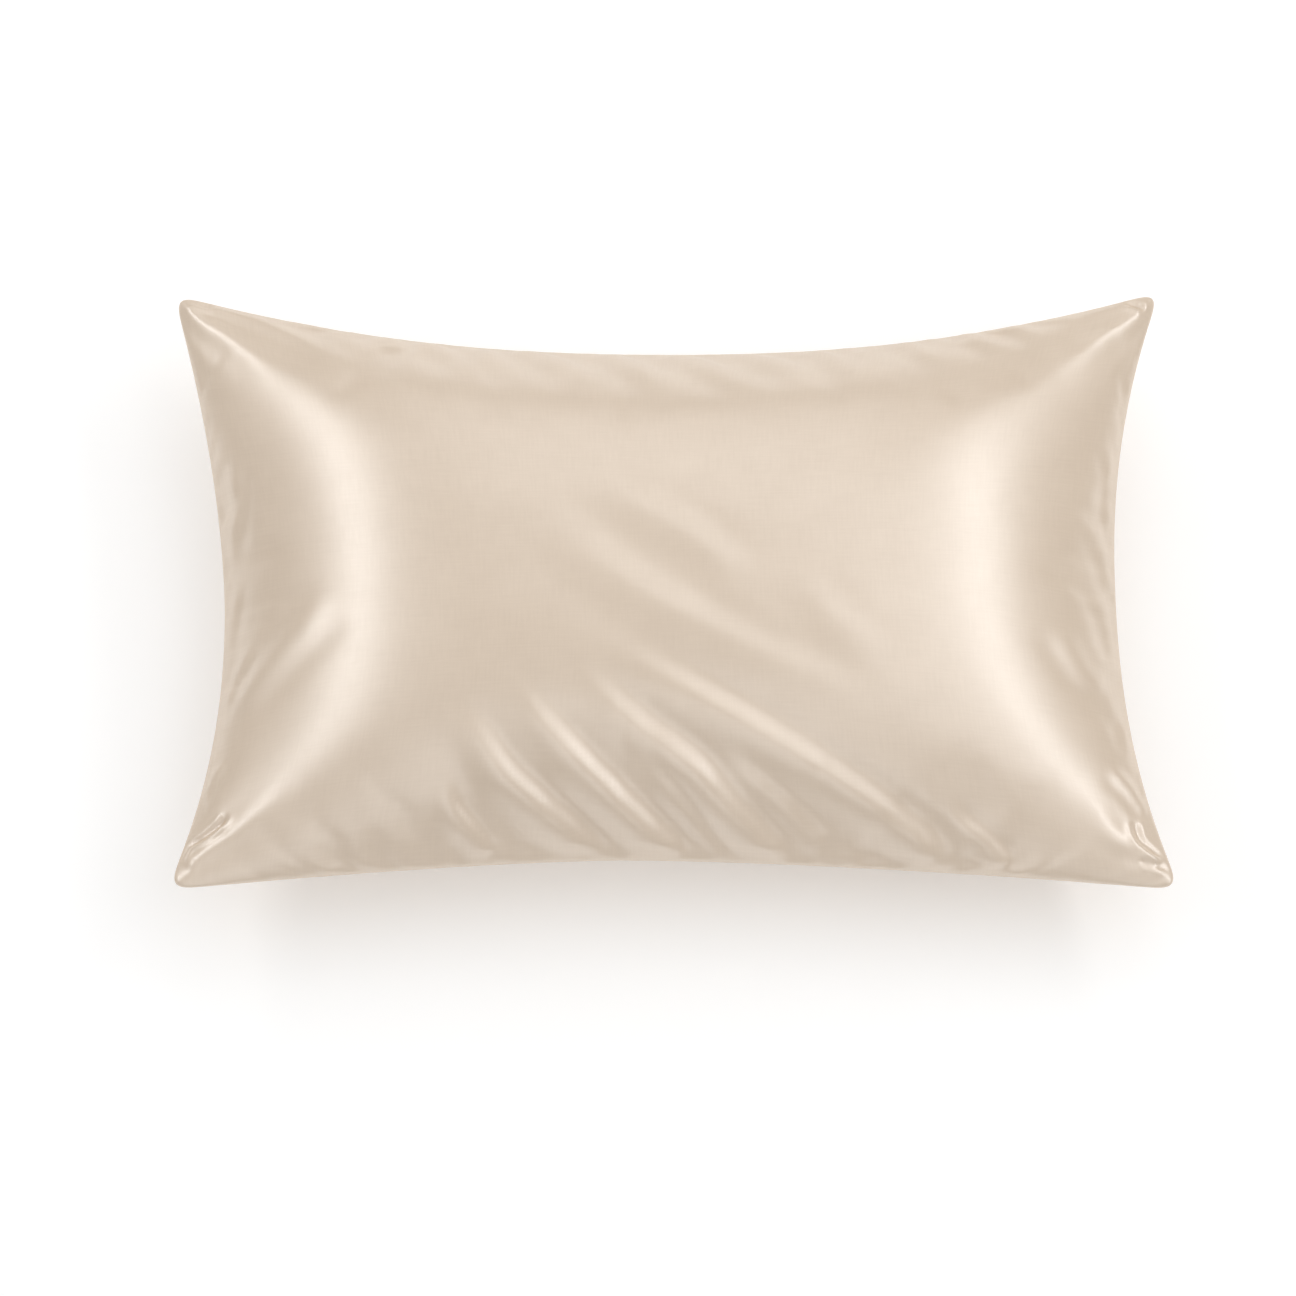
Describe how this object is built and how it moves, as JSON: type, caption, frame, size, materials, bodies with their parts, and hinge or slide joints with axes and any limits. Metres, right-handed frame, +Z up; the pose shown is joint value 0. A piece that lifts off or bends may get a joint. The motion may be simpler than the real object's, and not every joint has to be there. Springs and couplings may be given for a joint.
{
  "type": "filled pillowcase",
  "caption": "Satin pillowcase filled by its pillow: a crowned rectangle with drawn-in sides, pointed ears and soft diagonal folds, lying flat on its back.",
  "frame": {"origin": "at floor level, under the middle of the outline's box", "axes": "+X along the long sides, +Y toward the top edge, +Z up out of the face"},
  "size_m": [0.7572, 0.4864, 0.1789],
  "materials": {
    "satin": "champagne satin, smooth and softly shiny"
  },
  "bodies": {
    "root": {"pillowcase": "satin"}
  },
  "joints": []
}
